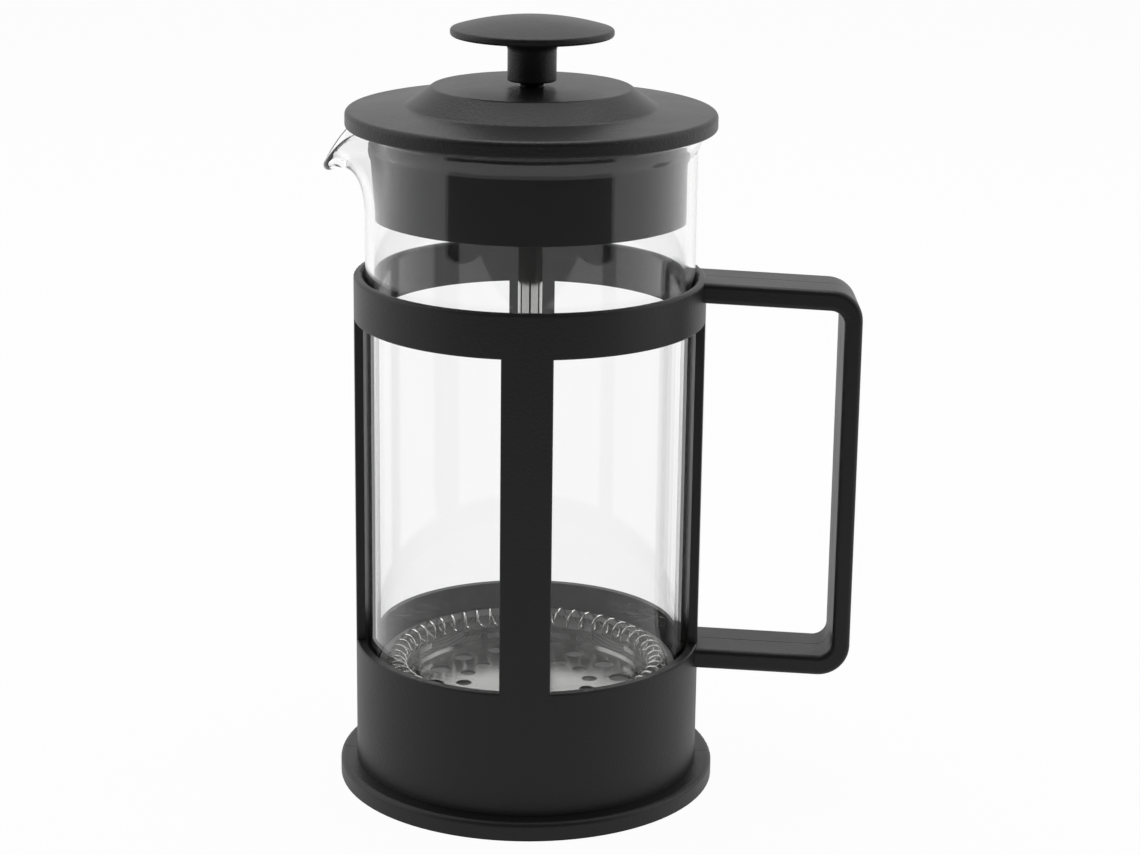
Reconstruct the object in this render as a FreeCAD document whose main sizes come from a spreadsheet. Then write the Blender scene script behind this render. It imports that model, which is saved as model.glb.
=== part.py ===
import FreeCAD, Part
import math
import os

import Sketcher

# French press: a glass beaker in a moulded frame with a C-shaped handle, closed by a lid
# through which a rod with a knob pushes a filter made of plate, mesh, spring coil and cross.
# Millimetres. The origin is the centre of the foot's flat underside, on the beaker's axis.
# +Z is up, +X points to the handle and -X to the spout.

doc = FreeCAD.newDocument("FrenchPress")

# ---------------------------------------------------------------- driving dimensions
SIZES = [
    ("shell_radius", 36.5, "outside of the frame's cup, legs and ring"),
    ("shell_wall", 1.8, "wall of the cup, legs and ring"),
    ("floor_wall", 2.4, "floor of the cup"),
    ("cup_height", 30.5, "top of the cup above the table"),
    ("window_round", 0.4, "rounding of the windows' outer edges"),
    ("window_height", 69.8, "open height between cup and ring"),
    ("ring_height", 9.3, "height of the ring"),
    ("ring_round", 0.6, "rounding of the ring's edges"),
    ("leg_count", 4, "legs between cup and ring"),
    ("leg_width", 10.3, "width of a leg"),
    ("foot_ledge", 3.5, "how far the foot flange stands out of the cup"),
    ("foot_height", 3.9, "thickness of the foot flange"),
    ("foot_round", 1.1, "rounding of the flange's upper edge"),
    ("handle_stand", 32.0, "handle's outer face from the cup"),
    ("handle_grip", 3.76, "thickness of the upright grip"),
    ("handle_bar", 4.3, "thickness of the two bars"),
    ("handle_depth", 15.4, "width of the handle strap"),
    ("handle_low", 25.7, "underside of the lower bar at its root"),
    ("handle_set", 0.1, "handle's top below the ring's top at its root"),
    ("handle_droop", 2.86, "fall of both bars away from the ring, degrees"),
    ("handle_outer_corner", 6.5, "outer corner radius of the handle"),
    ("handle_inner_corner", 3.0, "inner corner radius of the handle"),
    ("handle_edge", 1.1, "rounding of the strap's long edges"),
    ("glass_gap", 0.6, "radial play of the beaker in the frame"),
    ("glass_wall", 1.8, "wall of the beaker"),
    ("glass_floor", 2.2, "floor of the beaker"),
    ("glass_rise", 30.8, "beaker's rim above the ring"),
    ("glass_corner", 5.0, "outer rounding at the beaker's floor"),
    ("rim_flare", 0.7, "how far the rim bead stands out of the wall"),
    ("rim_bead", 1.9, "height of the rim bead"),
    ("spout_reach", 8.6, "spout tip outside the beaker's wall"),
    ("spout_radius", 9.0, "half width of the spout at the rim"),
    ("spout_depth", 19.4, "height of the spout below the rim"),
    ("spout_fall", 8.0, "tip of the spout below the rim"),
    ("lid_overhang", 3.95, "how far the lid stands out of the beaker's wall"),
    ("lid_edge", 3.3, "thickness of the lid at its edge"),
    ("lid_rise", 0.9, "rise of the lid's flat part"),
    ("lid_shoulder", 25.8, "radius where the lid's cone starts"),
    ("lid_crown", 20.4, "radius of the lid's raised top"),
    ("lid_cone", 3.9, "height of the lid's cone"),
    ("lid_wall", 2.0, "wall of the lid"),
    ("lid_round", 1.0, "rounding of the lid's edges"),
    ("skirt_gap", 0.3, "play of the skirt and of the filter in the beaker"),
    ("skirt_wall", 1.5, "wall of the lid's skirt"),
    ("skirt_depth", 18.2, "depth of the skirt below the rim"),
    ("skirt_web", 1.6, "thickness of the web that closes the skirt"),
    ("strainer_count", 9, "pouring slots in the skirt"),
    ("strainer_step", 7.0, "angle from slot to slot, degrees"),
    ("strainer_slot", 1.6, "width of a pouring slot"),
    ("strainer_height", 9.0, "height of a pouring slot"),
    ("fit_play", 0.05, "radial play of the rod in the lid and of assembled pieces"),
    ("rod_radius", 2.5, "plunger rod"),
    ("tip_radius", 2.0, "threaded lower end of the rod"),
    ("tip_length", 9.0, "length of the rod's lower end"),
    ("knob_gap", 1.1, "knob above the lid when pushed down"),
    ("knob_radius", 16.66, "knob"),
    ("knob_stem", 5.0, "radius of the knob's stem"),
    ("knob_stem_height", 7.6, "height of the knob's stem"),
    ("knob_flare", 1.6, "rise of the knob's underside"),
    ("knob_rim", 1.4, "thickness of the knob at its rim"),
    ("knob_dome", 2.5, "rise of the knob's top"),
    ("insert_radius", 3.6, "threaded insert in the knob"),
    ("insert_length", 7.4, "length of the threaded insert"),
    ("insert_inset", 0.4, "insert above the knob's lower end"),
    ("grounds_depth", 14.8, "filter plate above the beaker's floor when pushed down"),
    ("plate_wall", 0.5, "sheet of the filter plate"),
    ("plate_rim", 3.5, "height of the filter plate with its tabs"),
    ("plate_holes", 14, "holes in each of the two circles"),
    ("hole_turn", 7.0, "first hole of each circle from the handle's side, degrees"),
    ("outer_hole_circle", 20.1, "radius of the outer circle of holes"),
    ("outer_hole", 2.25, "radius of an outer hole"),
    ("inner_hole_circle", 13.6, "radius of the inner circle of holes"),
    ("inner_hole", 1.65, "radius of an inner hole"),
    ("tab_count", 8, "T-shaped tabs on the plate's rim"),
    ("tab_neck", 1.3, "width of a tab's neck"),
    ("tab_head", 10.0, "width of a tab's head"),
    ("tab_head_height", 1.1, "height of a tab's head"),
    ("coil_radius", 2.0, "outside of the spring coil"),
    ("coil_wire", 0.5, "wire of the spring coil"),
    ("coil_inset", 3.7, "middle of the coil inside the mesh's edge"),
    ("mesh_sheet", 0.35, "thickness of the mesh"),
    ("mesh_lip", 0.9, "rise of the mesh's edge above the middle of the coil"),
    ("cross_radius", 24.0, "cross plate"),
    ("cross_sheet", 0.9, "thickness of the cross plate"),
    ("cross_window", 7.0, "radius of a window in the cross plate"),
    ("cross_windows", 4, "windows in the cross plate"),
    ("cross_window_circle", 13.6, "radius on which those windows lie"),
    ("hub_radius", 4.0, "threaded hub under the cross plate"),
    ("hub_flange", 6.0, "flange of the hub"),
    ("hub_length", 8.0, "length of the hub"),
    ("collar_radius", 4.6, "collar on the rod above the filter plate"),
    ("collar_height", 2.8, "height of that collar"),
]

sheet = doc.addObject("Spreadsheet::Sheet", "Size")
for row, (alias, value, meaning) in enumerate(SIZES, start=1):
    sheet.set("A%d" % row, alias)
    sheet.set("B%d" % row, str(value))
    sheet.setAlias("B%d" % row, alias)
    sheet.set("C%d" % row, meaning)
doc.recompute()


def size(alias):
    """The number in the sheet under this alias."""
    return float(sheet.get(alias))


def number(expression):
    """What an expression on the sheet comes to."""
    return float(sheet.evalExpression(str(expression)))


# ---------------------------------------------------------------- levels and radii, as expressions
bore_radius = "(Size.shell_radius - Size.shell_wall)"
foot_radius = "(Size.shell_radius + Size.foot_ledge)"
window_low = "Size.cup_height"
ring_low = "(Size.cup_height + Size.window_height)"
ring_top = f"({ring_low} + Size.ring_height)"

glass_low = "Size.floor_wall"
glass_radius = f"({bore_radius} - Size.glass_gap)"
glass_bore = f"({glass_radius} - Size.glass_wall)"
glass_inside = f"({glass_low} + Size.glass_floor)"
rim_level = f"({ring_top} + Size.glass_rise)"

lid_radius = f"({glass_radius} + Size.lid_overhang)"
lid_low = rim_level
lid_shoulder_level = f"({lid_low} + Size.lid_edge + Size.lid_rise)"
crown_level = f"({lid_shoulder_level} + Size.lid_cone)"
skirt_radius = f"({glass_bore} - Size.skirt_gap)"
skirt_bore = f"({skirt_radius} - Size.skirt_wall)"
skirt_low = f"({lid_low} - Size.skirt_depth)"
rod_hole = "(Size.rod_radius + Size.fit_play)"

knob_low = f"({crown_level} + Size.knob_gap)"
knob_under = f"({knob_low} + Size.knob_stem_height)"
knob_rim_low = f"({knob_under} + Size.knob_flare)"
knob_rim_top = f"({knob_rim_low} + Size.knob_rim)"
insert_low = f"({knob_low} + Size.insert_inset)"
insert_top = f"({insert_low} + Size.insert_length)"

plate_low = f"({glass_inside} + Size.grounds_depth)"
plate_top = f"({plate_low} + Size.plate_wall)"
mesh_radius = skirt_radius
coil_circle = f"({mesh_radius} - Size.coil_inset)"
plate_radius = f"({coil_circle} - Size.coil_radius - Size.fit_play)"
mesh_low = f"({plate_low} - Size.mesh_sheet)"
cross_low = f"({mesh_low} - Size.cross_sheet)"
coil_level = f"({plate_low} + Size.plate_rim + 0.7 * Size.coil_radius)"
tip_hole = "(Size.tip_radius + Size.fit_play)"
hub_low = f"({cross_low} - Size.hub_length)"
tip_low = f"({plate_top} - Size.tip_length)"


# ---------------------------------------------------------------- ways of building a piece
def new_body(label):
    """An empty body whose label is the piece's name."""
    body = doc.addObject("PartDesign::Body", label)
    body.Label = label
    return body


def origin_part(body, role):
    """One of the body's own origin planes or axes."""
    return next(item for item in body.Origin.OriginFeatures if item.Role == role)


def new_sketch(body, role, level=None):
    """A sketch on an origin plane, lifted along its normal by an expression."""
    sketch = body.newObject("Sketcher::SketchObject", body.Label + "_sketch")
    sketch.AttachmentSupport = (origin_part(body, role), [""])
    sketch.MapMode = "FlatFace"
    if level is not None:
        sketch.setExpression("AttachmentOffset.Base.z", level)
    return sketch


def pin(sketch, edge, end, x, y):
    """Hold one end of an edge at two expressions from the sketch's origin."""
    for kind, expression in (("DistanceX", x), ("DistanceY", y)):
        value = number(expression)
        index = sketch.addConstraint(Sketcher.Constraint(kind, -1, 1, edge, end, value))
        sketch.setExpression("Constraints[%d]" % index, expression)


def outline(sketch, corners, arcs=None):
    """A closed outline through corners, each a pair of expressions.

    arcs gives, for an edge's number, the expression of its radius and the side to which
    it bulges: +1 is to the left of the way from corner to corner."""
    arcs = arcs or {}
    points = [FreeCAD.Vector(number(x), number(y), 0) for x, y in corners]
    count = len(points)
    ends = []
    for index, start in enumerate(points):
        end = points[(index + 1) % count]
        if index in arcs:
            radius, side = arcs[index]
            chord = end - start
            left = FreeCAD.Vector(-chord.y, chord.x, 0).normalize()
            rise = number(radius) - math.sqrt(number(radius) ** 2 - (chord.Length / 2) ** 2)
            middle = (start + end) * 0.5 + left * (side * rise)
            edge = sketch.addGeometry(Part.Arc(start, middle, end))
        else:
            edge = sketch.addGeometry(Part.LineSegment(start, end))
        forward = sketch.getPoint(edge, 1).isEqual(start, 1e-6)
        ends.append((1, 2) if forward else (2, 1))
    for index in range(count):
        after = (index + 1) % count
        joint = Sketcher.Constraint("Coincident", index, ends[index][1], after, ends[after][0])
        sketch.addConstraint(joint)
    for index, (x, y) in enumerate(corners):
        pin(sketch, index, ends[index][0], x, y)
    for index, (radius, _) in arcs.items():
        held = sketch.addConstraint(Sketcher.Constraint("Radius", index, number(radius)))
        sketch.setExpression("Constraints[%d]" % held, radius)


def circle(sketch, x, y, radius):
    """A circle whose centre and radius are expressions."""
    centre = FreeCAD.Vector(number(x), number(y), 0)
    edge = sketch.addGeometry(Part.Circle(centre, FreeCAD.Vector(0, 0, 1), number(radius)))
    pin(sketch, edge, 3, x, y)
    held = sketch.addConstraint(Sketcher.Constraint("Radius", edge, number(radius)))
    sketch.setExpression("Constraints[%d]" % held, radius)


def spun(body, corners, arcs=None, kind="Revolution"):
    """Turn an outline of (radius, height) corners about the axis, to add or to cut.

    It is drawn on the YZ plane, which keeps the seam clear of the handle and the spout."""
    sketch = new_sketch(body, "YZ_Plane")
    outline(sketch, corners, arcs)
    feature = body.newObject("PartDesign::" + kind, body.Label + "_" + kind.lower())
    feature.Profile = sketch
    feature.ReferenceAxis = (sketch, ["V_Axis"])
    feature.Angle = 360
    doc.recompute()
    return feature


def pushed(body, sketch, length, kind="Pocket", back=False, both=False):
    """Pad or pocket a sketch by the expression of its length."""
    feature = body.newObject("PartDesign::" + kind, body.Label + "_" + kind.lower())
    feature.Profile = sketch
    feature.setExpression("Length", length)
    if both:
        feature.SideType = "Symmetric"
    feature.Reversed = back
    doc.recompute()
    return feature


def repeated(body, feature, count):
    """Copy a feature all round the axis."""
    pattern = body.newObject("PartDesign::PolarPattern", body.Label + "_pattern")
    pattern.Originals = [feature]
    pattern.Axis = (origin_part(body, "Z_Axis"), [""])
    pattern.Angle = 360
    pattern.setExpression("Occurrences", count)
    body.Tip = pattern
    doc.recompute()
    return pattern


def edges(feature, test):
    """Names of a feature's edges that pass a test."""
    names = []
    for index, edge in enumerate(feature.Shape.Edges, start=1):
        if test(edge):
            names.append("Edge%d" % index)
    return names


def round_edge(radius, level):
    """A test for circular edges of one radius at one height."""
    def test(edge):
        if edge.Degenerated:
            return False
        curve = edge.Curve
        return (isinstance(curve, Part.Circle)
                and abs(curve.Radius - number(radius)) < 1e-3
                and abs(curve.Center.z - number(level)) < 1e-3)
    return test


def rounded(body, radius, *tests):
    """Fillet the edges of the body's tip that pass any of the tests."""
    base = body.Tip
    names = edges(base, lambda edge: any(test(edge) for test in tests))
    if not names:
        raise RuntimeError("%s has no such edge to round" % body.Label)
    feature = body.newObject("PartDesign::Fillet", body.Label + "_fillet")
    feature.Base = (base, names)
    feature.setExpression("Radius", radius)
    doc.recompute()
    return feature


# ---------------------------------------------------------------- frame
# One moulding: a cup with a foot flange, four legs and a ring, fused with its handle, which
# springs from the ring and from the cup over one of the legs.
def make_handle():
    body = new_body("frame_handle")
    half_depth = "Size.handle_depth / 2"
    root = f"(sqrt(Size.shell_radius ^ 2 - ({half_depth}) ^ 2) - Size.shell_wall / 4)"
    slope = "tan(Size.handle_droop)"
    reach = "(Size.shell_radius + Size.handle_stand)"
    grip_in = f"({reach} - Size.handle_grip)"

    def bar_level(base, x):
        return f"({base} - ({x} - Size.shell_radius) * {slope})"

    handle_top = f"({ring_top} - Size.handle_set)"
    bar_under = f"({handle_top} - Size.handle_bar)"
    bar_over = "(Size.handle_low + Size.handle_bar)"
    strap = new_sketch(body, "XZ_Plane")
    outline(strap, [
        (root, bar_level("Size.handle_low", root)),
        (reach, bar_level("Size.handle_low", reach)),
        (reach, bar_level(handle_top, reach)),
        (root, bar_level(handle_top, root)),
        (root, bar_level(bar_under, root)),
        (grip_in, bar_level(bar_under, grip_in)),
        (grip_in, bar_level(bar_over, grip_in)),
        (root, bar_level(bar_over, root)),
    ])
    pushed(body, strap, "Size.handle_depth", kind="Pad", both=True)

    def corner_at(x):
        def test(edge):
            ends = [vertex.Point for vertex in edge.Vertexes]
            across = len(ends) == 2 and abs(ends[0].y - ends[1].y) > 1
            return across and abs(ends[0].x - number(x)) < 1e-3
        return test

    rounded(body, "Size.handle_outer_corner", corner_at(reach))
    rounded(body, "Size.handle_inner_corner", corner_at(grip_in))

    def long_edge(edge):
        middle = edge.CenterOfMass
        on_side = abs(abs(middle.y) - size("handle_depth") / 2) < 1e-3
        return on_side and middle.x > number(root) + 1
    rounded(body, "Size.handle_edge", long_edge)

    return body


def make_shell():
    body = new_body("frame_shell")
    outer = "Size.shell_radius"
    spun(body, [
        ("0", "0"),
        (foot_radius, "0"),
        (foot_radius, "Size.foot_height"),
        (outer, "Size.foot_height"),
        (outer, ring_top),
        (bore_radius, ring_top),
        (bore_radius, glass_low),
        ("0", glass_low),
    ])
    rounded(body, "Size.foot_round", round_edge(foot_radius, "Size.foot_height"))
    rounded(body, "Size.ring_round", round_edge(outer, ring_top), round_edge(bore_radius, ring_top))

    edge_of_leg = "Size.leg_width / 2"
    past_shell = "(Size.shell_radius + 1)"
    window = new_sketch(body, "XY_Plane", window_low)
    outline(window, [
        (edge_of_leg, edge_of_leg),
        (past_shell, edge_of_leg),
        (past_shell, past_shell),
        (edge_of_leg, past_shell),
    ])
    opening = pushed(body, window, "Size.window_height", back=True)
    repeated(body, opening, "Size.leg_count")

    def window_edge(edge):
        heights = [vertex.Point.z for vertex in edge.Vertexes]
        in_reach = min(heights) > number(window_low) - 1e-3
        below_ring = max(heights) < number(ring_low) + 1e-3
        radii = [math.hypot(vertex.Point.x, vertex.Point.y) for vertex in edge.Vertexes]
        outside = min(radii) > size("shell_radius") - 1e-3
        return in_reach and below_ring and outside
    rounded(body, "Size.window_round", window_edge)
    return body


def make_frame():
    fused = doc.addObject("Part::Fuse", "frame")
    fused.Label = "frame"
    fused.Base = make_shell()
    fused.Tool = make_handle()
    fused.Refine = True
    doc.recompute()
    return fused


# ---------------------------------------------------------------- beaker
# Blown glass: a plain cylinder with a rounded floor, a fire-polished rim and a drawn spout.
def make_beaker():
    body = new_body("glass_beaker")
    bead = f"({glass_radius} + Size.rim_flare)"
    bead_low = f"({rim_level} - Size.rim_bead)"
    spun(body, [
        ("0", glass_low),
        (glass_radius, glass_low),
        (glass_radius, f"({bead_low} - Size.rim_flare)"),
        (bead, bead_low),
        (bead, rim_level),
        ("0", rim_level),
    ])
    rounded(body, "Size.glass_corner", round_edge(glass_radius, glass_low))
    rounded(body, "Size.rim_flare * 0.9", round_edge(bead, rim_level), round_edge(bead, bead_low))

    spout_low = f"({rim_level} - Size.spout_depth)"
    tip_x = f"({glass_radius} + Size.spout_reach)"
    root_radius = "(Size.spout_radius / 3)"

    def spout(kind, inset):
        low = new_sketch(body, "XY_Plane", spout_low)
        low_radius = f"({root_radius} - {inset} / 2)"
        circle(low, f"-({glass_radius} - {root_radius} - Size.glass_wall / 4)", "0", low_radius)
        high = new_sketch(body, "XY_Plane", rim_level)
        circle(high, f"-({tip_x} - Size.spout_radius)", "0", f"(Size.spout_radius - {inset})")
        feature = body.newObject("PartDesign::" + kind, "spout_" + kind.lower())
        feature.Profile = low
        feature.Sections = [high]
        doc.recompute()

    spout("AdditiveLoft", "0")
    spun(body, [
        ("0", glass_inside),
        (glass_bore, glass_inside),
        (glass_bore, f"({rim_level} + 1)"),
        ("0", f"({rim_level} + 1)"),
    ], kind="Groove")
    rounded(body, "Size.glass_corner - Size.glass_wall", round_edge(glass_bore, glass_inside))
    spout("SubtractiveLoft", "Size.glass_wall")

    lip = new_sketch(body, "XZ_Plane")
    lip_root = f"-({glass_radius} - Size.glass_wall)"
    outline(lip, [
        (lip_root, f"({rim_level} + 1)"),
        (lip_root, f"({rim_level} - Size.rim_bead / 4)"),
        (f"-{tip_x}", f"({rim_level} - Size.spout_fall)"),
        (f"-({tip_x} + 2)", f"({rim_level} - Size.spout_fall)"),
        (f"-({tip_x} + 2)", f"({rim_level} + 1)"),
    ])
    pushed(body, lip, "4 * Size.spout_radius", both=True)
    return body


# ---------------------------------------------------------------- lid
# Two snapped mouldings: the cover that rests on the rim, and the skirt with its web.
def make_lid_cover():
    body = new_body("lid_cover")
    inner_level = f"({lid_low} + Size.lid_edge + Size.lid_rise - Size.lid_wall)"
    skirt_seat = f"({skirt_radius} + Size.fit_play)"
    shoulder_in = "(Size.lid_shoulder - Size.lid_wall / 2)"
    crown_in = "(Size.lid_crown - Size.lid_wall / 2)"
    spun(body, [
        (rod_hole, f"({crown_level} - Size.lid_wall)"),
        (crown_in, f"({crown_level} - Size.lid_wall)"),
        (shoulder_in, inner_level),
        (skirt_seat, inner_level),
        (skirt_seat, lid_low),
        (lid_radius, lid_low),
        (lid_radius, f"({lid_low} + Size.lid_edge)"),
        ("Size.lid_shoulder", lid_shoulder_level),
        ("Size.lid_crown", crown_level),
        (rod_hole, crown_level),
    ])
    rounded(body, "Size.lid_round",
            round_edge(lid_radius, f"({lid_low} + Size.lid_edge)"),
            round_edge("Size.lid_shoulder", lid_shoulder_level),
            round_edge("Size.lid_crown", crown_level))
    rounded(body, "Size.lid_round / 2", round_edge(lid_radius, lid_low))
    return body


def make_lid_skirt():
    body = new_body("lid_skirt")
    top = f"({lid_low} + Size.lid_edge + Size.lid_rise - Size.lid_wall - Size.fit_play)"
    spun(body, [
        (rod_hole, f"({top} - Size.skirt_web)"),
        (skirt_bore, f"({top} - Size.skirt_web)"),
        (skirt_bore, skirt_low),
        (skirt_radius, skirt_low),
        (skirt_radius, top),
        (rod_hole, top),
    ])
    slot_low = f"({skirt_low} + Size.skirt_depth / 4)"
    half = "Size.strainer_slot / 2"
    fan_angle = "Size.strainer_step * (Size.strainer_count - 1)"
    slot = new_sketch(body, "XZ_Plane")
    upright = FreeCAD.Vector(0, 1, 0)
    slot.AttachmentOffset = FreeCAD.Placement(
        FreeCAD.Vector(), FreeCAD.Rotation(upright, -number(fan_angle) / 2))
    slot.setExpression("AttachmentOffset.Rotation.Angle", f"-{fan_angle} / 2")
    outline(slot, [
        (f"-({half})", slot_low),
        (half, slot_low),
        (half, f"({slot_low} + Size.strainer_height)"),
        (f"-({half})", f"({slot_low} + Size.strainer_height)"),
    ])
    cut = pushed(body, slot, f"({skirt_radius} + 1)")
    fan = body.newObject("PartDesign::PolarPattern", "strainer_fan")
    fan.Originals = [cut]
    fan.Axis = (origin_part(body, "Z_Axis"), [""])
    fan.setExpression("Angle", fan_angle)
    fan.setExpression("Occurrences", "Size.strainer_count")
    body.Tip = fan
    doc.recompute()
    return body


# ---------------------------------------------------------------- knob and rod
def make_knob():
    body = new_body("knob")
    bore = "(Size.insert_radius + Size.fit_play)"
    top = f"({knob_rim_top} + Size.knob_dome)"
    dome = "((Size.knob_radius ^ 2 + Size.knob_dome ^ 2) / (2 * Size.knob_dome))"
    spun(body, [
        (bore, knob_low),
        ("Size.knob_stem", knob_low),
        ("Size.knob_stem", knob_under),
        ("Size.knob_radius", knob_rim_low),
        ("Size.knob_radius", knob_rim_top),
        ("0", top),
        ("0", f"({insert_top} + Size.fit_play)"),
        (bore, f"({insert_top} + Size.fit_play)"),
    ], arcs={4: (dome, -1)})
    rounded(body, "Size.knob_rim * 0.45",
            round_edge("Size.knob_radius", knob_rim_low),
            round_edge("Size.knob_radius", knob_rim_top))
    rounded(body, "Size.knob_flare", round_edge("Size.knob_stem", knob_under))
    rounded(body, "Size.insert_inset", round_edge("Size.knob_stem", knob_low))
    return body


def make_knob_insert():
    body = new_body("knob_insert")
    spun(body, [
        (rod_hole, insert_low),
        ("Size.insert_radius", insert_low),
        ("Size.insert_radius", insert_top),
        (rod_hole, insert_top),
    ])
    return body


def make_rod():
    body = new_body("plunger_rod")
    spun(body, [
        ("0", tip_low),
        ("Size.tip_radius", tip_low),
        ("Size.tip_radius", plate_top),
        ("Size.rod_radius", plate_top),
        ("Size.rod_radius", insert_top),
        ("0", insert_top),
    ])
    return body


# ---------------------------------------------------------------- filter
# Sheet steel plate, mesh and cross clamped between the rod's collar and the hub.
def make_collar():
    body = new_body("rod_collar")
    spun(body, [
        (rod_hole, plate_top),
        ("Size.collar_radius", plate_top),
        ("Size.collar_radius", f"({plate_top} + Size.collar_height)"),
        (rod_hole, f"({plate_top} + Size.collar_height)"),
    ])
    rounded(body, "Size.plate_wall",
            round_edge("Size.collar_radius", f"({plate_top} + Size.collar_height)"))
    return body


def make_filter_plate():
    body = new_body("filter_plate")
    rim_top = f"({plate_low} + Size.plate_rim)"
    spun(body, [
        (tip_hole, plate_low),
        (plate_radius, plate_low),
        (plate_radius, rim_top),
        (f"({plate_radius} - Size.plate_wall)", rim_top),
        (f"({plate_radius} - Size.plate_wall)", plate_top),
        (tip_hole, plate_top),
    ])
    rounded(body, "Size.plate_wall", round_edge(plate_radius, plate_low))
    for ring, hole in (("Size.outer_hole_circle", "Size.outer_hole"),
                       ("Size.inner_hole_circle", "Size.inner_hole")):
        spot = new_sketch(body, "XY_Plane", f"({plate_low} - 1)")
        circle(spot, f"({ring} * cos(Size.hole_turn))", f"({ring} * sin(Size.hole_turn))", hole)
        drilled = pushed(body, spot, "(Size.plate_wall + 2)", back=True)
        repeated(body, drilled, "Size.plate_holes")

    gap_low = f"({plate_top} + Size.plate_wall)"
    head_low = f"({rim_top} - Size.tab_head_height)"
    pitch = f"(2 * {plate_radius} * sin(180 / Size.tab_count))"
    cuts = [
        (f"(({pitch} - Size.tab_neck) / 2)", gap_low, head_low),
        (f"(({pitch} - Size.tab_head) / 2)", gap_low, f"({rim_top} + 1)"),
    ]
    for half, low, high in cuts:
        gap = new_sketch(body, "XZ_Plane")
        outline(gap, [(f"-{half}", low), (half, low), (half, high), (f"-{half}", high)])
        opened = pushed(body, gap, f"({plate_radius} + 1)")
        repeated(body, opened, "Size.tab_count")
    return body


def make_coil():
    """The spring coil as the ring-shaped tube that its turns fill."""
    outside = doc.addObject("Part::Torus", "coil_outside")
    inside = doc.addObject("Part::Torus", "coil_inside")
    for torus, radius in ((outside, "Size.coil_radius"),
                          (inside, "(Size.coil_radius - Size.coil_wire)")):
        torus.setExpression("Radius1", coil_circle)
        torus.setExpression("Radius2", radius)
        torus.setExpression("Placement.Base.z", coil_level)
    coil = doc.addObject("Part::Cut", "spring_coil")
    coil.Label = "spring_coil"
    coil.Base = outside
    coil.Tool = inside
    doc.recompute()
    return coil


def make_mesh():
    body = new_body("mesh_filter")
    wall = "Size.mesh_sheet"
    foot = f"({plate_radius} + Size.fit_play)"
    lip = f"({coil_level} + Size.mesh_lip)"
    inside = "(Size.coil_radius + 2 * Size.fit_play)"
    outside = f"({inside} + {wall})"
    spun(body, [
        (tip_hole, mesh_low),
        (f"({foot} + {wall})", mesh_low),
        (coil_circle, f"({coil_level} - {outside})"),
        (f"({coil_circle} + {outside})", coil_level),
        (mesh_radius, lip),
        (f"({mesh_radius} - {wall})", lip),
        (f"({coil_circle} + {inside})", coil_level),
        (coil_circle, f"({coil_level} - {inside})"),
        (foot, plate_low),
        (tip_hole, plate_low),
    ], arcs={2: (outside, -1), 6: (inside, 1)})
    return body


def make_cross():
    body = new_body("cross_plate")
    spun(body, [
        (tip_hole, cross_low),
        ("Size.cross_radius", cross_low),
        ("Size.cross_radius", mesh_low),
        (tip_hole, mesh_low),
    ])
    spot = new_sketch(body, "XY_Plane", f"({cross_low} - 1)")
    circle(spot, "Size.cross_window_circle", "0", "Size.cross_window")
    window = pushed(body, spot, "(Size.cross_sheet + 2)", back=True)
    repeated(body, window, "Size.cross_windows")
    return body


def make_hub():
    body = new_body("hub_nut")
    flange_low = f"({cross_low} - Size.cross_sheet)"
    spun(body, [
        (tip_hole, hub_low),
        ("Size.hub_radius", hub_low),
        ("Size.hub_radius", flange_low),
        ("Size.hub_flange", flange_low),
        ("Size.hub_flange", cross_low),
        (tip_hole, cross_low),
    ])
    return body


# ---------------------------------------------------------------- build, test and write
frame = make_frame()
beaker = make_beaker()
lid_cover = make_lid_cover()
lid_skirt = make_lid_skirt()
pieces = [frame, beaker, lid_cover, lid_skirt]
pieces += [make_knob(), make_knob_insert(), make_rod(), make_collar(), make_filter_plate()]
pieces += [make_coil(), make_mesh(), make_cross(), make_hub()]
doc.recompute()

for item in doc.Objects:
    if "Invalid" in item.State or "Error" in item.State:
        raise RuntimeError("%s did not build: %s" % (item.Label, item.State))
for piece in pieces:
    if piece.Shape.isNull() or not piece.Shape.isValid():
        raise RuntimeError("%s has no valid shape" % piece.Label)

os.makedirs("parts", exist_ok=True)
for piece in pieces:
    piece.Shape.exportStep("parts/%s.step" % piece.Label)
    box = piece.Shape.BoundBox
    print("%-14s solids %d  volume %9.1f  x %7.2f %7.2f  y %7.2f %7.2f  z %7.2f %7.2f" % (
        piece.Label, len(piece.Shape.Solids), piece.Shape.Volume,
        box.XMin, box.XMax, box.YMin, box.YMax, box.ZMin, box.ZMax))
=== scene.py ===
import math

import bpy
import numpy as np
from mathutils import Matrix, Vector


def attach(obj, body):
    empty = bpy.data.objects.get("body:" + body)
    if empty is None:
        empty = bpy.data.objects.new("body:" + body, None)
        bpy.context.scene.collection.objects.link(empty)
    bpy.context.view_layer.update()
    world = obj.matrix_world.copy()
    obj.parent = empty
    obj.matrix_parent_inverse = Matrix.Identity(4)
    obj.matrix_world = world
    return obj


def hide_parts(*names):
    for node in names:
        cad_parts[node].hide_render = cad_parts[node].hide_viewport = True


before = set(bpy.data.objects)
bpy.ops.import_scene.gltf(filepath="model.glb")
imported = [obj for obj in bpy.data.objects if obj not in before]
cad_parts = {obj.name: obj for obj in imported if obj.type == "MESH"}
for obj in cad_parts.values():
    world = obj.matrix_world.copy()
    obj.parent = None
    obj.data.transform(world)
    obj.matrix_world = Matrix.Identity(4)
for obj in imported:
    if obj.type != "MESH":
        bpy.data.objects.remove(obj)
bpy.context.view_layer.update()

# ---------------------------------------------------------------- camera
# A long lens half a metre in front of the press and above its lid, looking down. It is
# turned a little round the press, whose handle points slightly off straight across.

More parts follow.
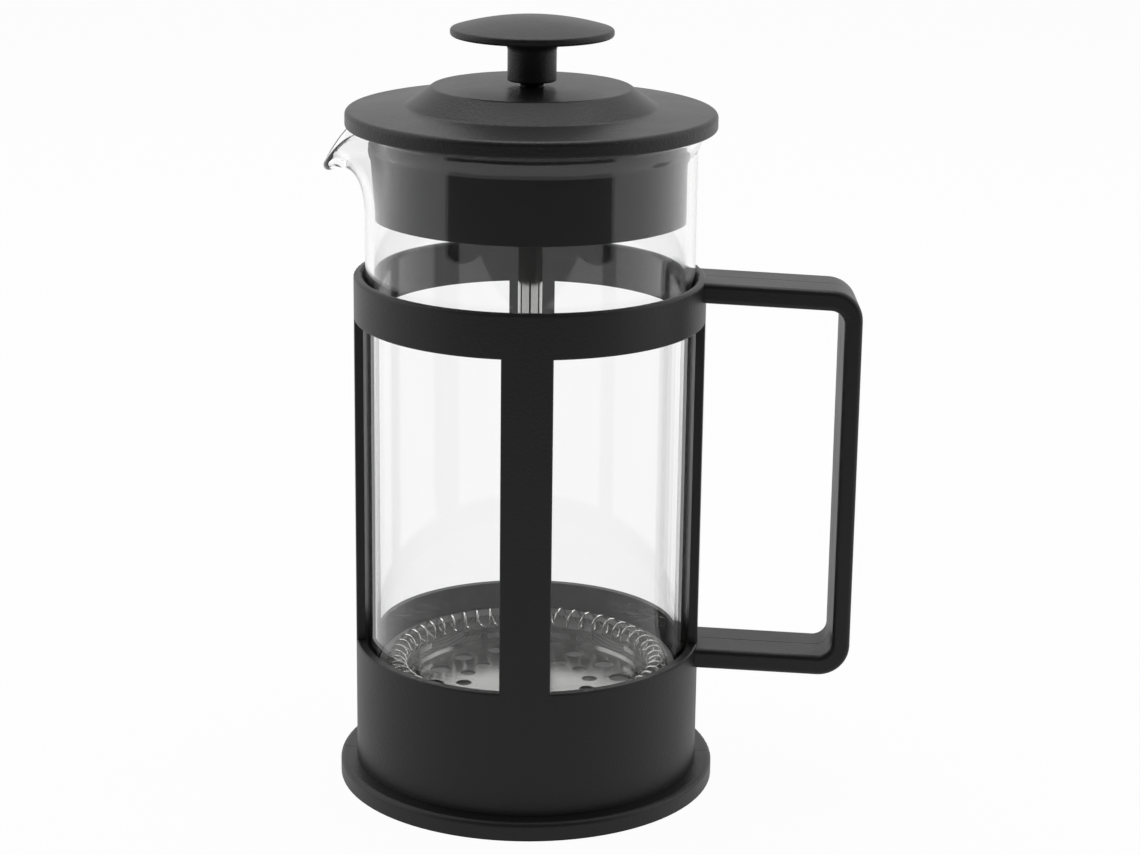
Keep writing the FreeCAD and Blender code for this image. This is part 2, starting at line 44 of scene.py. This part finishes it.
sensor_width, focal_length = 36.0, 89.40
camera_place = (-0.00136, -0.5719, 0.2397)
camera_data = bpy.data.cameras.new("camera")
camera_data.sensor_width = sensor_width
camera_data.lens = focal_length
camera = bpy.data.objects.new("camera", camera_data)
bpy.context.scene.collection.objects.link(camera)
object_turn = math.radians(0.85)
turn_right = math.radians(1.0)
tilt_down = math.radians(15.93)
roll = math.radians(0.73)
camera.matrix_world = (
    Matrix.Rotation(object_turn, 4, "Z")
    @ Matrix.Translation(camera_place)
    @ Matrix.Rotation(-turn_right, 4, "Z")
    @ Matrix.Rotation(math.pi / 2 - tilt_down, 4, "X")
    @ Matrix.Rotation(roll, 4, "Z")
)
bpy.context.scene.camera = camera

# ---------------------------------------------------------------- room and table
# A white sweep behind and beside the press, and a dark room in front of it. The camera and
# light that passes through glass meet white everywhere; mirrored rays meet the dark room.


def node(tree, kind, inputs=None, **settings):
    """Add a node, set its properties, and set or link its inputs."""
    made = tree.nodes.new(kind)
    for key, value in settings.items():
        setattr(made, key, value)
    for key, value in (inputs or {}).items():
        if isinstance(value, bpy.types.NodeSocket):
            tree.links.new(value, made.inputs[key])
        else:
            made.inputs[key].default_value = value
    return made


def maths(tree, operation, first, second=0.0, third=0.0):
    """One Math node's result."""
    made = node(tree, "ShaderNodeMath", {0: first, 1: second, 2: third}, operation=operation)
    return made.outputs[0]


def in_front(tree, across, along):
    """1 where a direction or place lies within 58 degrees of -Y, seen from above, else 0: its
    distance to the side is less than spread times its distance ahead."""
    spread = 1.6
    sideways = maths(tree, "ABSOLUTE", across)
    ahead = maths(tree, "MULTIPLY", along, -spread)
    return maths(tree, "GREATER_THAN", ahead, sideways)


white_rgba = (1, 1, 1, 1)
side_level, back_level, dark_level, soft_level = 0.72, 1.0, 0.06, 0.42
world = bpy.data.worlds.new("room")
world.use_nodes = True
sky = world.node_tree
sky.nodes.clear()
rays = node(sky, "ShaderNodeLightPath").outputs
after_mirror = maths(sky, "GREATER_THAN", rays["Glossy Depth"], 0.5)
straight = maths(sky, "SUBTRACT", 1.0, after_mirror)
shown = maths(sky, "MAXIMUM", rays["Is Camera Ray"], rays["Is Transmission Ray"])
shown = maths(sky, "MULTIPLY", shown, straight)
direction = node(sky, "ShaderNodeTexCoord").outputs["Generated"]
part = node(sky, "ShaderNodeSeparateXYZ", {0: direction}).outputs
dark = in_front(sky, part["X"], part["Y"])
lit_level = node(sky, "ShaderNodeMapRange", {"Value": part["Y"], "From Min": -0.3,
                                             "From Max": 0.3, "To Min": side_level,
                                             "To Max": back_level})
mirrored_level = node(sky, "ShaderNodeMapRange", {"Value": dark, "To Max": dark_level,
                                                  "To Min": lit_level.outputs[0]})
white = node(sky, "ShaderNodeBackground", {"Strength": 1.0})
mirrored = node(sky, "ShaderNodeBackground", {"Strength": mirrored_level.outputs[0]})
soft = node(sky, "ShaderNodeBackground", {"Strength": soft_level})
for lit in (white, mirrored, soft):
    lit.inputs["Color"].default_value = white_rgba
unseen = node(sky, "ShaderNodeMixShader", {0: after_mirror, 1: soft.outputs[0],
                                           2: mirrored.outputs[0]})
whole = node(sky, "ShaderNodeMixShader", {0: shown, 1: unseen.outputs[0], 2: white.outputs[0]})
node(sky, "ShaderNodeOutputWorld", {"Surface": whole.outputs[0]})
bpy.context.scene.world = world
bpy.context.scene.view_settings.view_transform = "Standard"

floor_half, floor_glow, floor_matt = 3.0, 0.96, (0.85, 0.85, 0.85, 1)
table_front, corner_slope, corner_reach = 0.485, -1.11, 0.833
floor_mesh = bpy.data.meshes.new("floor")
floor_mesh.from_pydata([(-floor_half, -floor_half, 0), (floor_half, -floor_half, 0),
                        (floor_half, floor_half, 0), (-floor_half, floor_half, 0)],
                       [], [(0, 1, 2, 3)])
floor = bpy.data.objects.new("floor", floor_mesh)
bpy.context.scene.collection.objects.link(floor)
floor_paint = bpy.data.materials.new("floor_white")
floor_paint.use_nodes = True
tree = floor_paint.node_tree
tree.nodes.clear()
rays = node(tree, "ShaderNodeLightPath").outputs
place = node(tree, "ShaderNodeTexCoord").outputs["Object"]
part = node(tree, "ShaderNodeSeparateXYZ", {0: place}).outputs
sideways = maths(tree, "ABSOLUTE", part["X"])
corner_cut = maths(tree, "MULTIPLY_ADD", sideways, corner_slope, corner_reach)
table_depth = maths(tree, "MINIMUM", table_front, corner_cut)
ahead = maths(tree, "MULTIPLY", part["Y"], -1.0)
off_table = maths(tree, "GREATER_THAN", ahead, table_depth)
dark = maths(tree, "MULTIPLY", in_front(tree, part["X"], part["Y"]), off_table)
lit_level = node(tree, "ShaderNodeMapRange", {"Value": part["Y"], "From Min": -0.1,
                                              "From Max": 0.3, "To Min": side_level,
                                              "To Max": back_level})
table_level = node(tree, "ShaderNodeMapRange", {"Value": dark, "To Max": dark_level,
                                                "To Min": lit_level.outputs[0]})
matt = node(tree, "ShaderNodeBsdfDiffuse", {"Color": floor_matt})
lit = node(tree, "ShaderNodeEmission", {"Strength": 1.0})
mirrored = node(tree, "ShaderNodeEmission", {"Strength": table_level.outputs[0]})
keep = node(tree, "ShaderNodeMapRange", {"Value": rays["Is Diffuse Ray"], "To Min": floor_glow,
                                         "To Max": 0.0})
seen = node(tree, "ShaderNodeMixShader", {0: keep.outputs[0], 1: matt.outputs[0],
                                          2: lit.outputs[0]})
after_mirror = maths(tree, "GREATER_THAN", rays["Glossy Depth"], 0.5)
whole = node(tree, "ShaderNodeMixShader", {0: after_mirror, 1: seen.outputs[0],
                                           2: mirrored.outputs[0]})
node(tree, "ShaderNodeOutputMaterial", {"Surface": whole.outputs[0]})
floor_mesh.materials.append(floor_paint)

# ---------------------------------------------------------------- lamps
# Two large soft lamps beside the press and one above and behind it.


def lamp(name, place, width, height, watts):
    """A soft rectangular lamp that faces the middle of the press."""
    data = bpy.data.lights.new(name, "AREA")
    data.shape = "RECTANGLE"
    data.size = width
    data.size_y = height
    data.energy = watts
    made = bpy.data.objects.new(name, data)
    bpy.context.scene.collection.objects.link(made)
    made.location = place
    middle = Vector((0, 0, 0.08))
    facing = (middle - Vector(place)).to_track_quat("-Z", "Y")
    made.rotation_euler = facing.to_euler()


lamp("left_lamp", (-0.95, 0.05, 0.5), 0.8, 1.0, 1.6)
lamp("right_lamp", (0.95, 0.05, 0.5), 0.8, 1.0, 1.4)
lamp("top_lamp", (0, 0.25, 1.1), 0.9, 0.9, 5.0)

# ---------------------------------------------------------------- frame
# Cup, legs, ring and handle: one black plastic moulding with a fine sparked grain, which the
# other pieces stand in. The two halves of the mould leave a parting line along the middle of
# the handle and across the foot's edge.

grain = bpy.data.node_groups.new("moulded_grain", "ShaderNodeTree")
grain.interface.new_socket("Pitch", in_out="INPUT", socket_type="NodeSocketFloat")
grain.interface.new_socket("Height", in_out="OUTPUT", socket_type="NodeSocketFloat")
grain.interface.new_socket("Gloss", in_out="OUTPUT", socket_type="NodeSocketFloat")
entry = node(grain, "NodeGroupInput").outputs
place = node(grain, "ShaderNodeTexCoord").outputs["Object"]
fine = node(grain, "ShaderNodeTexNoise",
            {"Vector": place, "Scale": maths(grain, "DIVIDE", 1.0, entry["Pitch"]),
             "Detail": 2.0, "Roughness": 0.6})
broad = node(grain, "ShaderNodeTexNoise", {"Vector": place, "Scale": 90.0, "Detail": 3.0})
gloss = node(grain, "ShaderNodeMapRange", {"Value": broad.outputs["Fac"], "From Min": 0.35,
                                           "From Max": 0.65, "To Min": 0.0, "To Max": 1.0})
node(grain, "NodeGroupOutput", {"Height": fine.outputs["Fac"], "Gloss": gloss.outputs[0]})


def plastic(name, colour, pitch, depth, rough):
    """Black moulded plastic: its tree, its shader and its bump, to add to."""
    material = bpy.data.materials.new(name)
    material.use_nodes = True
    tree = material.node_tree
    tree.nodes.clear()
    surface = node(tree, "ShaderNodeGroup", node_tree=grain)
    surface.inputs["Pitch"].default_value = pitch
    relief = node(tree, "ShaderNodeBump", {"Height": surface.outputs["Height"],
                                           "Strength": 1.0, "Distance": depth})
    roughness = node(tree, "ShaderNodeMapRange", {"Value": surface.outputs["Gloss"],
                                                  "To Min": rough - 0.01,
                                                  "To Max": rough + 0.02})
    shader = node(tree, "ShaderNodeBsdfPrincipled", {
        "Base Color": colour, "Roughness": roughness.outputs[0],
        "Specular IOR Level": 0.32, "Normal": relief.outputs[0]})
    node(tree, "ShaderNodeOutputMaterial", {"Surface": shader.outputs[0]})
    return material, tree, shader, relief


def paint(piece, material):
    """Give a piece its one material."""
    piece.data.materials.clear()
    piece.data.materials.append(material)


frame_colour, line_colour = (0.0100, 0.0100, 0.0100, 1), (0.002, 0.002, 0.002, 1)
line_full, line_edge, line_depth, past_shell = 0.00011, 0.00026, 0.0002, 0.0367
frame_black, tree, shader, relief = plastic("frame_plastic", frame_colour, 0.00055, 0.00006,
                                            0.42)
place = node(tree, "ShaderNodeTexCoord").outputs["Object"]
part = node(tree, "ShaderNodeSeparateXYZ", {0: place}).outputs
from_middle = maths(tree, "ABSOLUTE", part["Y"])
out_along = maths(tree, "ABSOLUTE", part["X"])
beyond_shell = maths(tree, "GREATER_THAN", out_along, past_shell)
near_line = node(tree, "ShaderNodeMapRange", {"Value": from_middle, "From Min": line_full,
                                              "From Max": line_edge, "To Min": 1.0,
                                              "To Max": 0.0})
line = maths(tree, "MULTIPLY", beyond_shell, near_line.outputs[0])
tone = node(tree, "ShaderNodeMix", {"Factor": line, 6: frame_colour, 7: line_colour},
            data_type="RGBA")
tree.links.new(tone.outputs[2], shader.inputs["Base Color"])
groove = node(tree, "ShaderNodeBump", {"Height": maths(tree, "MULTIPLY", line, -1.0),
                                       "Strength": 1.0, "Distance": line_depth,
                                       "Normal": relief.outputs[0]})
tree.links.new(groove.outputs[0], shader.inputs["Normal"])
paint(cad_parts["frame"], frame_black)

# ---------------------------------------------------------------- glass beaker
# Clear borosilicate glass, blown: a rounded floor, a fire-polished bead round the rim, and a
# spout drawn out of the rim by hand, which curls over at its lip. It stands loose in the
# frame's cup, inside the ring.


def skin(name, rings, caps):
    """A surface through rings of points. With caps the first and last rings are closed to
    their centres; without, the last ring joins the first."""
    count, around = rings.shape[:2]
    step = np.arange(count - 1 if caps else count)[:, None]
    turn = np.arange(around)
    after = (turn + 1) % around
    higher = (step + 1) % count
    quads = np.stack([step * around + turn, step * around + after,
                      higher * around + after, higher * around + turn], axis=-1)
    points = rings.reshape(-1, 3)
    faces = quads.reshape(-1, 4).tolist()
    if caps:
        points = np.vstack([points, rings[0].mean(axis=0), rings[-1].mean(axis=0)])
        first = np.full(around, count * around)
        top = (count - 1) * around
        faces += np.stack([after, turn, first], axis=-1).tolist()
        faces += np.stack([top + turn, top + after, first + 1], axis=-1).tolist()
    mesh = bpy.data.meshes.new(name)
    mesh.from_pydata(points.tolist(), [], faces)
    mesh.shade_smooth()
    made = bpy.data.objects.new(name, mesh)
    bpy.context.scene.collection.objects.link(made)
    return made


def beaker_rings():
    """The beaker's skin: outside from floor centre to rim, then inside back to the floor.

    The wall's middle line rises straight; near the spout it moves out by reach times a power
    of the rise and drops by fall times a higher power, each fading with the angle from the
    spout as a squared cosine. Both skins lie half a wall to each side of that line, along its
    normal, and part to half a bead each just below the rim."""
    low, inside, rim = 0.0024, 0.0046, 0.1404
    radius, wall, corner = 0.0341, 0.0018, 0.005
    bead, bead_out = 0.00115, 0.0007
    bead_start, bead_blend = 0.0035, 0.003
    reach, fall, spout_low = 0.0075, 0.00735, 0.122
    reach_power, fall_power = 2.2, 3.2
    reach_angle, fall_angle = 30, 20
    around, middle = 288, 0.004
    turn = np.linspace(0, 2 * np.pi, around, endpoint=False)
    from_spout = np.abs(np.degrees(turn) - 180)
    wide = np.cos(np.radians(from_spout * 90 / reach_angle)) ** 2
    wide = np.where(from_spout < reach_angle, wide, 0)
    narrow = np.cos(np.radians(from_spout * 90 / fall_angle)) ** 2
    narrow = np.where(from_spout < fall_angle, narrow, 0)

    top = rim - bead
    height = np.concatenate([np.linspace(low + corner, spout_low, 6)[:-1],
                             np.linspace(spout_low, top, 44)])[:, None]
    rise = np.clip((height - spout_low) / (top - spout_low), 0, 1)
    swell = np.clip((height - (top - bead_start)) / bead_blend, 0, 1)
    swell = swell * swell * (3 - 2 * swell)
    out = radius - wall / 2 + bead_out * swell + reach * wide * rise ** reach_power
    up = height - fall * narrow * rise ** fall_power
    along = np.stack([np.gradient(out, axis=0), np.gradient(up, axis=0)], axis=-1)
    along /= np.linalg.norm(along, axis=-1, keepdims=True)
    half = wall / 2 + (bead - wall / 2) * swell
    outer = np.stack([out + half * along[..., 1], up - half * along[..., 0]], axis=-1)
    inner = np.stack([out - half * along[..., 1], up + half * along[..., 0]], axis=-1)
    bend = np.linspace(0, np.pi, 13)[1:-1, None, None]
    across = np.stack([along[-1, :, 1], -along[-1, :, 0]], axis=-1)
    centre = np.stack([out[-1], up[-1]], axis=-1)
    lip = centre + bead * (np.cos(bend) * across + np.sin(bend) * along[-1])

    quarter = np.linspace(-np.pi / 2, 0, 9)[:-1]
    base = np.concatenate([
        np.stack([np.linspace(middle, radius - corner, 6)[:-1], np.full(5, low)], axis=-1),
        np.stack([radius - corner + corner * np.cos(quarter),
                  low + corner + corner * np.sin(quarter)], axis=-1)])
    small = corner - wall
    back = np.linspace(0, -np.pi / 2, 9)[1:]
    floor_in = np.concatenate([
        np.stack([radius - corner + small * np.cos(back),
                  inside + small + small * np.sin(back)], axis=-1),
        np.stack([np.linspace(radius - corner, middle, 6)[1:], np.full(5, inside)], axis=-1)])
    everywhere = np.ones((1, around, 1))
    outline = np.concatenate([base[:, None] * everywhere, outer, lip, inner[::-1],
                              floor_in[:, None] * everywhere])
    return np.stack([outline[..., 0] * np.cos(turn), outline[..., 0] * np.sin(turn),
                     outline[..., 1]], axis=-1)


beaker = skin("beaker_glass", beaker_rings(), caps=True)
glass = bpy.data.materials.new("clear_glass")
glass.use_nodes = True
tree = glass.node_tree
tree.nodes.clear()
place = node(tree, "ShaderNodeTexCoord").outputs["Object"]
drawn = node(tree, "ShaderNodeTexNoise", {"Vector": place, "Scale": 40.0, "Detail": 0.0})
ripple = node(tree, "ShaderNodeBump", {"Height": drawn.outputs["Fac"], "Strength": 0.3,
                                       "Distance": 0.00005})
shader = node(tree, "ShaderNodeBsdfPrincipled", {
    "Base Color": (0.990, 0.991, 0.990, 1), "Roughness": 0.0, "IOR": 1.47,
    "Transmission Weight": 1.0, "Normal": ripple.outputs[0]})
node(tree, "ShaderNodeOutputMaterial", {"Surface": shader.outputs[0]})
paint(beaker, glass)
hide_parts("glass_beaker")
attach(beaker, "beaker")
paint(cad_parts["glass_beaker"], glass)

# ---------------------------------------------------------------- lid
# The cover and the skirt that hangs in the glass: black plastic mouldings, the cover with a
# slightly coarser grain. The skirt is pressed up into the cover, and both rest on the rim.

lid_black = plastic("lid_plastic", (0.0085, 0.0085, 0.0085, 1), 0.00062, 0.00011, 0.40)[0]
skirt_black = plastic("skirt_plastic", (0.0080, 0.0080, 0.0080, 1), 0.00040, 0.000020, 0.42)[0]
paint(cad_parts["lid_cover"], lid_black)
paint(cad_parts["lid_skirt"], skirt_black)

# ---------------------------------------------------------------- knob and its insert
# The knob is moulded in the lid's plastic round a turned brass insert with the rod's thread.
# The brass is hidden; it shows only where the pieces are taken apart.

knob_black = plastic("knob_plastic", (0.0080, 0.0080, 0.0080, 1), 0.00060, 0.00009, 0.42)[0]
paint(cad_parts["knob"], knob_black)


patches = bpy.data.node_groups.new("metal_patches", "ShaderNodeTree")
patches.interface.new_socket("Pitch", in_out="INPUT", socket_type="NodeSocketFloat")
patches.interface.new_socket("Height", in_out="OUTPUT", socket_type="NodeSocketFloat")
patches.interface.new_socket("Dullness", in_out="OUTPUT", socket_type="NodeSocketFloat")
entry = node(patches, "NodeGroupInput").outputs
place = node(patches, "ShaderNodeTexCoord").outputs["Object"]
cloud = node(patches, "ShaderNodeTexNoise",
             {"Vector": place, "Scale": maths(patches, "DIVIDE", 1.0, entry["Pitch"]),
              "Detail": 3.0})
dull = node(patches, "ShaderNodeMapRange", {"Value": cloud.outputs["Fac"], "From Min": 0.3,
                                            "From Max": 0.7, "To Min": 0.0, "To Max": 1.0})
node(patches, "NodeGroupOutput", {"Height": cloud.outputs["Fac"], "Dullness": dull.outputs[0]})


def metal(name, colour, low, high, pitch, depth):
    """Metal whose roughness wanders between low and high: its tree, its shader and its bump,
    to add to."""
    material = bpy.data.materials.new(name)
    material.use_nodes = True
    tree = material.node_tree
    tree.nodes.clear()
    surface = node(tree, "ShaderNodeGroup", node_tree=patches)
    surface.inputs["Pitch"].default_value = pitch
    roughness = node(tree, "ShaderNodeMapRange", {"Value": surface.outputs["Dullness"],
                                                  "To Min": low, "To Max": high})
    relief = node(tree, "ShaderNodeBump", {"Height": surface.outputs["Height"],
                                           "Strength": 1.0, "Distance": depth})
    shader = node(tree, "ShaderNodeBsdfPrincipled", {
        "Base Color": colour, "Metallic": 1.0, "Roughness": roughness.outputs[0],
        "Normal": relief.outputs[0]})
    node(tree, "ShaderNodeOutputMaterial", {"Surface": shader.outputs[0]})
    return material, tree, shader, relief


brass = metal("brass", (0.70, 0.50, 0.22, 1), 0.25, 0.35, 0.002, 0.000005)[0]
paint(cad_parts["knob_insert"], brass)

# ---------------------------------------------------------------- rod and collar
# Drawn stainless rod, polished, screwed into the knob's insert; its thread starts at the
# lid's top. From there up, the rod's colour is painted near-black as painted shade, which
# makes the gap under the knob read dark. A turned steel collar near its lower end stops the
# filter plate.

rod_colour, painted_gap_shade_colour = (0.55, 0.55, 0.54, 1), (0.03, 0.03, 0.03, 1)
thread_and_shade_start, thread_pitch, thread_depth = 0.1483, 0.0007, 0.0001
rod_steel, tree, shader, relief = metal("polished_steel", rod_colour, 0.04, 0.10, 0.006,
                                        0.000001)
place = node(tree, "ShaderNodeTexCoord").outputs["Object"]
part = node(tree, "ShaderNodeSeparateXYZ", {0: place}).outputs
# Painted shade: above the start height the rod's colour turns near-black, so the gap under the
# knob reads dark; the sine ridges are the thread's bump.
thread_and_painted_shade_mask = maths(tree, "GREATER_THAN", part["Z"], thread_and_shade_start)
ridges = maths(tree, "SINE", maths(tree, "MULTIPLY", part["Z"], 2 * math.pi / thread_pitch))
tone = node(tree, "ShaderNodeMix", {"Factor": thread_and_painted_shade_mask, 6: rod_colour, 7: painted_gap_shade_colour},
            data_type="RGBA")
thread = node(tree, "ShaderNodeBump", {"Height": maths(tree, "MULTIPLY", thread_and_painted_shade_mask, ridges),
                                       "Strength": 1.0, "Distance": thread_depth,
                                       "Normal": relief.outputs[0]})
tree.links.new(tone.outputs[2], shader.inputs["Base Color"])
tree.links.new(thread.outputs[0], shader.inputs["Normal"])
paint(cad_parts["plunger_rod"], rod_steel)

turned_steel = metal("turned_steel", (0.52, 0.52, 0.51, 1), 0.10, 0.18, 0.004, 0.000002)[0]
paint(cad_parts["rod_collar"], turned_steel)

# ---------------------------------------------------------------- filter plate
# Stamped stainless sheet with two circles of holes and T-shaped tabs that hold the spring.
# It is the top of the stack that is clamped to the rod's end.

sheet = metal("sheet_steel", (0.46, 0.46, 0.45, 1), 0.13, 0.20, 0.009, 0.000012)[0]
paint(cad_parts["filter_plate"], sheet)

# ---------------------------------------------------------------- spring
# One stainless wire wound into a helix and bent round the plate's rim, where it presses the
# mesh against the glass.


def coil_rings():
    """A wire wound round a ring: its middle line turns about the ring's own circle, a little
    unevenly, and each cross-section stands square to that line."""
    circle, level, coil, wire = 0.0280, 0.0246, 0.00204, 0.00026
    turns, steps_per_turn = 54, 30
    way = np.linspace(0, 2 * np.pi, turns * steps_per_turn, endpoint=False)[:, None]
    spin = turns * way + 0.2 * np.sin(3 * way) + 0.12 * np.sin(7 * way + 1)
    out = np.hstack([np.cos(way), np.sin(way), 0 * way])
    up = np.array([[0, 0, 1.0]])
    away = np.cos(spin) * out + np.sin(spin) * up
    line = circle * out + level * up + coil * away
    tangent = np.roll(line, -1, axis=0) - np.roll(line, 1, axis=0)
    tangent /= np.linalg.norm(tangent, axis=1, keepdims=True)
    side = np.cross(tangent, away)
    side /= np.linalg.norm(side, axis=1, keepdims=True)
    away = np.cross(side, tangent)
    turn = np.linspace(0, 2 * np.pi, 8, endpoint=False)[None, :, None]
    return line[:, None] + wire * (np.cos(turn) * away[:, None] + np.sin(turn) * side[:, None])


spring = skin("spring_wire_coil", coil_rings(), caps=False)
wire_steel = metal("spring_wire", (0.80, 0.80, 0.78, 1), 0.12, 0.18, 0.004, 0.000001)[0]
paint(spring, wire_steel)
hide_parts("spring_coil")
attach(spring, "plunger")
paint(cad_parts["spring_coil"], wire_steel)

# ---------------------------------------------------------------- mesh filter
# Woven stainless gauze, pressed into a trough under the spring and clamped under the plate.
# The weave is a relief in the material: crossed rows of threads, with painted shade darkening
# the holes between.

wire_colour, hole_painted_shade_colour = (0.34, 0.34, 0.335, 1), (0.06, 0.06, 0.06, 1)
wire_pitch, wire_depth = 0.0006, 0.00005
gauze, tree, shader, relief = metal("woven_mesh", wire_colour, 0.42, 0.5, 0.002, 0.000004)
place = node(tree, "ShaderNodeTexCoord").outputs["Object"]
part = node(tree, "ShaderNodeSeparateXYZ", {0: place}).outputs
threads = 2 * math.pi / wire_pitch
across = maths(tree, "SINE", maths(tree, "MULTIPLY", part["X"], threads))
along = maths(tree, "SINE", maths(tree, "MULTIPLY", part["Y"], threads))
weave = maths(tree, "MULTIPLY", across, along)
woven = node(tree, "ShaderNodeBump", {"Height": weave, "Strength": 1.0,
                                      "Distance": wire_depth, "Normal": relief.outputs[0]})
tree.links.new(woven.outputs[0], shader.inputs["Normal"])
# Painted shade: where the threads dip, the colour darkens towards near-black in the holes
# between them.
holes = node(tree, "ShaderNodeMapRange", {"Value": weave, "From Min": -1.0, "From Max": 0.2,
                                          "To Min": 0.25, "To Max": 1.0})
tone = node(tree, "ShaderNodeMix", {"Factor": holes.outputs[0], 6: hole_painted_shade_colour,
                                    7: wire_colour}, data_type="RGBA")
tree.links.new(tone.outputs[2], shader.inputs["Base Color"])
paint(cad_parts["mesh_filter"], gauze)

# ---------------------------------------------------------------- cross plate
# A cross stamped from the same stainless sheet as the filter plate. It lies under the mesh
# and holds it up against the plate.

paint(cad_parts["cross_plate"], sheet)

# ---------------------------------------------------------------- hub nut
# A nut turned from the collar's steel. It screws onto the rod's lower end and clamps cross,
# mesh and plate against the collar.

paint(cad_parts["hub_nut"], turned_steel)
